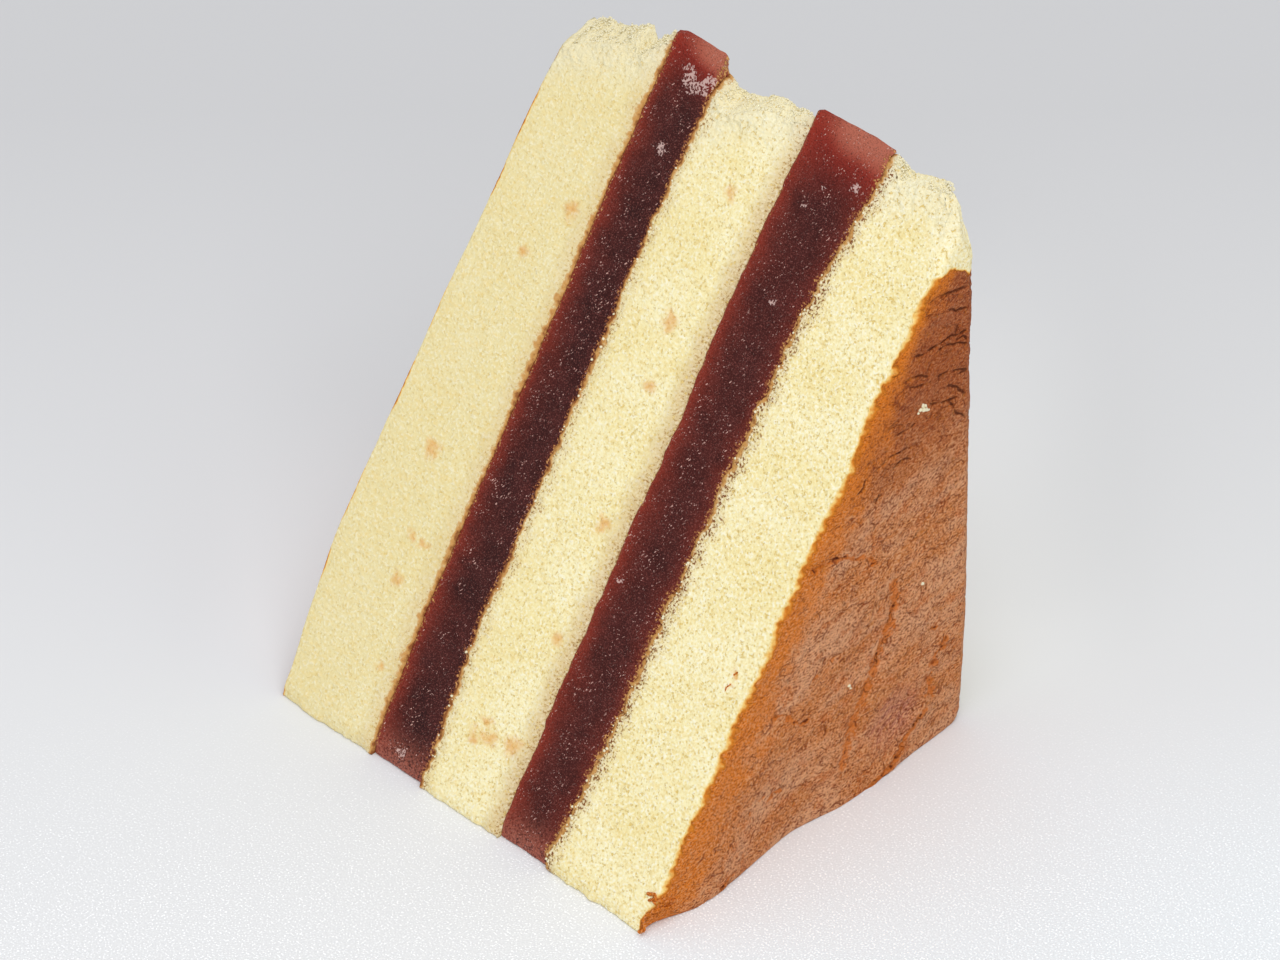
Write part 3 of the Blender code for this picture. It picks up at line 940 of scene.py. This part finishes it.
add_jelly(
    "jelly_left_bar", "jelly_left",
    lambda y, z: left_jelly_near(y, z) + GAP, lambda y, z: left_jelly_far(y, z) - GAP,
    torn_ridge((-14.0, -13.0, -8.0, -7.4), (0.9, 0.5, 0.6, 1.0), seed=2.0, tear=0.06),
    seed=3.7, torn_edge=0.3, left_edge=0.7, redness_and_glow=0.01, tip_reach=5.8,
)
add_jelly(
    "jelly_right_bar", "jelly_right",
    lambda y, z: right_jelly_near(y, z) + GAP, lambda y, z: right_jelly_far(y, z) - GAP,
    torn_ridge((4.6, 5.2, 12.0, 14.0), (0.7, 0.4, 0.0, 0.2), seed=3.0, tear=0.06),
    seed=6.8, torn_edge=0.45, left_edge=0.3, redness_and_glow=0.07, tip_reach=8.5,
)

# %% [markdown]
# Torn sponge sheds crumbs. About two thousand tiny ones cling to the ragged ridge and to the torn edges
# beside the jelly, and a few lie on the skin. Each is a small dented ball of only twenty faces, and all
# of them are joined in one mesh. They are placed from a seeded list of random numbers.

# %% Crumbs
random = np.random.default_rng(11)
crumb_mesh = bmesh.new()


def drop_crumb(mesh, x, y, z, size):
    """One crumb, as a dented ball at a place in millimetres."""
    centre = Vector((x, y, z)) * MILLIMETRE
    radius = size / 2 * MILLIMETRE
    ball = bmesh.ops.create_icosphere(
        mesh, subdivisions=1, radius=radius, matrix=Matrix.Translation(centre)
    )
    squash = Vector(random.uniform(0.7, 1.15, 3))
    for vertex in ball["verts"]:
        out = (vertex.co - centre) * random.uniform(0.72, 1.2)
        vertex.co = centre + out * squash


def drop_on_ridge(count, left, right, ridge):
    for _ in range(count):
        x = random.uniform(left, right)
        share = random.uniform(0.0, 1.0)
        z = float(ridge(x, share)) - SLUMP * (1 - share) ** 1.5
        front, rear = float(front_edge(np.array(z))), DEPTH / 2
        y = front + 0.3 + (rear - front - 0.5) * share
        z += random.uniform(-0.12, 0.12)
        drop_crumb(crumb_mesh, x + CENTRE_SHIFT, y, z, random.uniform(0.12, 0.32))


drop_on_ridge(800, -25.4, -14.8, left_ridge)
drop_on_ridge(700, -6.8, 4.0, middle_ridge)
drop_on_ridge(500, 15.2, 22.6, right_ridge)


def drop_on_edge(count, face, side, lowest, highest):
    """Crumbs on the slanted cut face, along the face between sponge and jelly."""
    for _ in range(count):
        z = random.uniform(lowest, highest)
        x = float(face(np.array(0.0), np.array(z))) + side * abs(random.normal(0.0, 0.5))
        y = float(front_edge(np.array(z))) + random.uniform(0.05, 0.25)
        drop_crumb(crumb_mesh, x + CENTRE_SHIFT, y, z, random.uniform(0.15, 0.4))


drop_on_edge(60, left_jelly_far, 1, 1.0, 61.0)
drop_on_edge(80, right_jelly_far, 1, 1.0, 62.5)
for y, z, size in (
    (15.6, 43.9, 0.6), (15.9, 44.2, 0.5), (16.0, 43.7, 0.7), (16.3, 44.0, 0.4), (16.5, 43.4, 0.55),
    (16.8, 43.2, 0.35), (15.3, 43.6, 0.35), (5.9, 14.9, 0.5), (6.1, 14.5, 0.35), (16.3, 21.7, 0.45),
):
    x = float(right_skin(np.array(y), np.array(z)))
    drop_crumb(crumb_mesh, x + CENTRE_SHIFT, y, z, size)
crumb_data = to_data(crumb_mesh, "loose_crumbs")
print(len(crumb_data.polygons), "faces of crumb")

# %% [markdown]
# Loose crumbs are cream throughout, and each is a little lighter or darker than its neighbours.

# %% Finish of the loose crumbs
loose, tree, surface, where = new_material("loose crumb")
cream = tint(tree, shade(236, 226, 188), (noise(tree, where, 900.0), 247, 241, 214))
tree.links.new(cream, surface.inputs["Base Color"])
surface.inputs["Roughness"].default_value = 0.95
surface.inputs["Specular IOR Level"].default_value = 0.3
add_bump(tree, surface, noise(tree, where, 5000.0), 0.6, 0.0001)
place_piece(crumb_data, None, loose)
print("loose crumb has", len(tree.nodes), "nodes")

# %% [markdown]
# At the lower front corner the knife tore the skin, and short orange strands of it hang over the cut
# face. A strand is a row of small crumbs that overlap, laid along a crooked line.

# %% Torn strands of skin


def on_cut(x, slope):
    z = slope * UP_SLOPE
    return x, float(front_edge(np.array(z))) - 0.06, z


def on_side(y, z):
    return float(right_skin(np.array(y), np.array(z))) + 0.08, y, z


STRANDS = (
    (0.42, on_cut(24.2, 4.3), on_cut(24.9, 4.6), on_cut(25.3, 4.2), on_side(-19.6, 2.9), on_side(-18.6, 2.4)),
    (0.36, on_cut(24.6, 3.8), on_cut(25.0, 4.1), on_cut(25.5, 3.8)),
    (0.42, on_side(-19.2, 2.0), on_side(-20.4, 2.3), on_cut(25.5, 3.0), on_cut(25.1, 2.4), on_cut(24.9, 1.8)),
    (0.4, on_cut(24.9, 1.8), on_cut(25.4, 1.4), on_cut(25.5, 0.9), on_cut(25.0, 0.5)),
    (0.22, on_cut(23.1, 28.0), on_cut(22.8, 27.6)),
    (0.22, on_cut(22.9, 26.6), on_cut(22.6, 26.1), on_cut(22.7, 25.7)),
)
strand_mesh = bmesh.new()
for thick, *points in STRANDS:
    points = np.array(points)
    along = np.concatenate(([0.0], np.cumsum(np.linalg.norm(np.diff(points, axis=0), axis=1))))
    for place in np.arange(0.0, along[-1], 0.1):
        x, y, z = (np.interp(place, along, points[:, axis]) for axis in range(3))
        drop_crumb(strand_mesh, x + CENTRE_SHIFT, y, max(z, 0.25), thick * random.uniform(0.6, 1.3))
strand_data = to_data(strand_mesh, "torn_skin")
count = len(strand_data.vertices)
paint_skin(strand_data, skin=np.ones(count), rim=np.full(count, 1.3))
place_piece(strand_data, None, castella)
print(len(strand_data.polygons), "faces of torn skin")

# %% [markdown]
# The cake stands on a pale seamless sheet. One wide floor is enough, since the camera looks down on it
# and never sees its edge.

# %% Floor
HALF_WIDTH = 1.5
floor_mesh = bmesh.new()
bmesh.ops.create_grid(floor_mesh, x_segments=1, y_segments=1, size=HALF_WIDTH)
floor_data = to_data(floor_mesh, "floor")
floor = bpy.data.objects.new("floor", floor_data)
bpy.context.scene.collection.objects.link(floor)
print("floor is %.0f m wide" % (2 * HALF_WIDTH))

# %% [markdown]
# The sheet is painted brighter towards the front, as painted light where the lamp reaches it best, and has
# faint painted glints there, which glow by emission. Close beside the cake the photograph has hardly any
# shadow, so a band of painted light offsets the shadow that the lamp casts, and more painted light lies to
# the right of the cake. away grows to the back and sideways to the right, as the camera sees them.

# %% Finish of the sheet
paper, tree, surface, where = new_material("pale sheet")
floor_data.materials.append(paper)
place = add_node(tree, "SeparateXYZ", {"Vector": where})
floor_x, floor_y = place.outputs[0], place.outputs[1]
away = calculate(tree, "SUBTRACT", floor_y, floor_x)
sideways = calculate(tree, "ADD", floor_y, floor_x)
# painted light: a paler band close beside the cake, which offsets the lamp's shadow
from_middle = calculate(tree, "ABSOLUTE", calculate(tree, "SUBTRACT", sideways, 0.006))
fading = stretch(tree, calculate(tree, "MULTIPLY_ADD", sideways, -0.4, away), 0.1, 0.03)
painted_light_band = times(tree, stretch(tree, from_middle, 0.07, 0.04), fading)
painted_light_band = times(tree, painted_light_band, stretch(tree, away, -0.005, 0.02))
# painted shade: the sheet is darker to the back, as the lamp's light falls off
tone = add_node(tree, "MapRange", {"Value": away, "From Min": -0.12, "From Max": 0.14}).outputs[0]
tone = calculate(tree, "MAXIMUM", calculate(tree, "MULTIPLY_ADD", painted_light_band, -0.55, tone), 0.0)
in_front = stretch(tree, away, 0.01, -0.05)
# painted light to the right of the cake, in a cooler tint that offsets its shadow and the warm light thrown
# back from the skin
beside = times(tree, stretch(tree, floor_x, 0.02, 0.04), stretch(tree, floor_x, 0.25, 0.06, 0.0, 0.5))
sparkle = noise(tree, where, 4800.0, 2.0)
sheet_colour = tint(
    tree, shade(246, 248, 251),
    (tone, 211, 212, 215),
    (times(tree, beside, in_front), 240, 248, 252),
    (times(tree, stretch(tree, sparkle, 0.55, 0.35, 0.0, 0.3), in_front), 214, 215, 219),
)
tree.links.new(sheet_colour, surface.inputs["Base Color"])
# painted glints: the sheet glows faintly by emission at its brightest specks
painted_glints = times(tree, stretch(tree, sparkle, 0.57, 0.72), in_front)
tree.links.new(painted_glints, surface.inputs["Emission Color"])
surface.inputs["Emission Strength"].default_value = 0.45
surface.inputs["Roughness"].default_value = 0.8
paper.cycles.emission_sampling = "NONE"
print("pale sheet has", len(tree.nodes), "nodes")

# %% [markdown]
# The photograph's light is soft and even, with hardly any shadow beside the cake, so its lamp was large
# and high, on the camera's side. A bright surround gives the fill, and one wide lamp up in front
# gives the faces their tone and leaves the shadow behind the wedge.

# %% Light
LAMP_PLACE = Vector((0.46, -0.40, 1.15))
LAMP_WIDTH = 1.3
LAMP_WATTS = 9.3
SURROUND = 0.6
scene = bpy.context.scene
scene.view_settings.view_transform = "Standard"
world = bpy.data.worlds.new("studio")
scene.world = world
world.use_nodes = True
background = world.node_tree.nodes["Background"]
background.inputs[0].default_value = (1.0, 1.0, 1.0, 1.0)
background.inputs[1].default_value = SURROUND
lamp = bpy.data.lights.new("key light", "AREA")
lamp.shape = "DISK"
lamp.size = LAMP_WIDTH
lamp.energy = LAMP_WATTS
key_light = bpy.data.objects.new("key light", lamp)
key_light.location = LAMP_PLACE
key_light.rotation_mode = "QUATERNION"
key_light.rotation_quaternion = (-LAMP_PLACE).to_track_quat("-Z", "Y")
scene.collection.objects.link(key_light)
print("one lamp %.2f m up and a white surround" % LAMP_PLACE.z)

# %% [markdown]
# The camera stands where the photograph was taken: a long lens, from about 39 degrees above the table,
# looking at the upright edge between the slanted cut face and the browned side.

# %% Camera
AZIMUTH, ELEVATION = math.radians(44.7), math.radians(39.15)
LENS = 292.5
DISTANCE = 1.017
AIM_RIGHT, AIM_UP = 1.9, -2.7
level = math.cos(ELEVATION)
back = Vector((math.sin(AZIMUTH) * level, -math.cos(AZIMUTH) * level, math.sin(ELEVATION)))
right = Vector((math.cos(AZIMUTH), math.sin(AZIMUTH), 0.0))
above = back.cross(right)
middle = Vector((CENTRE_SHIFT, 0.0, HEIGHT / 2 + 0.1))
target = (middle + right * AIM_RIGHT + above * AIM_UP) * MILLIMETRE
camera = bpy.data.objects.new("camera", bpy.data.cameras.new("camera"))
camera.data.sensor_width = 36.0
camera.data.lens = LENS
camera.data.clip_start = 0.1
camera.data.clip_end = 10.0
camera.location = target + back * DISTANCE
camera.rotation_mode = "QUATERNION"
camera.rotation_quaternion = back.to_track_quat("Z", "Y")
scene.collection.objects.link(camera)
scene.camera = camera
print("camera is %.2f m away" % DISTANCE)
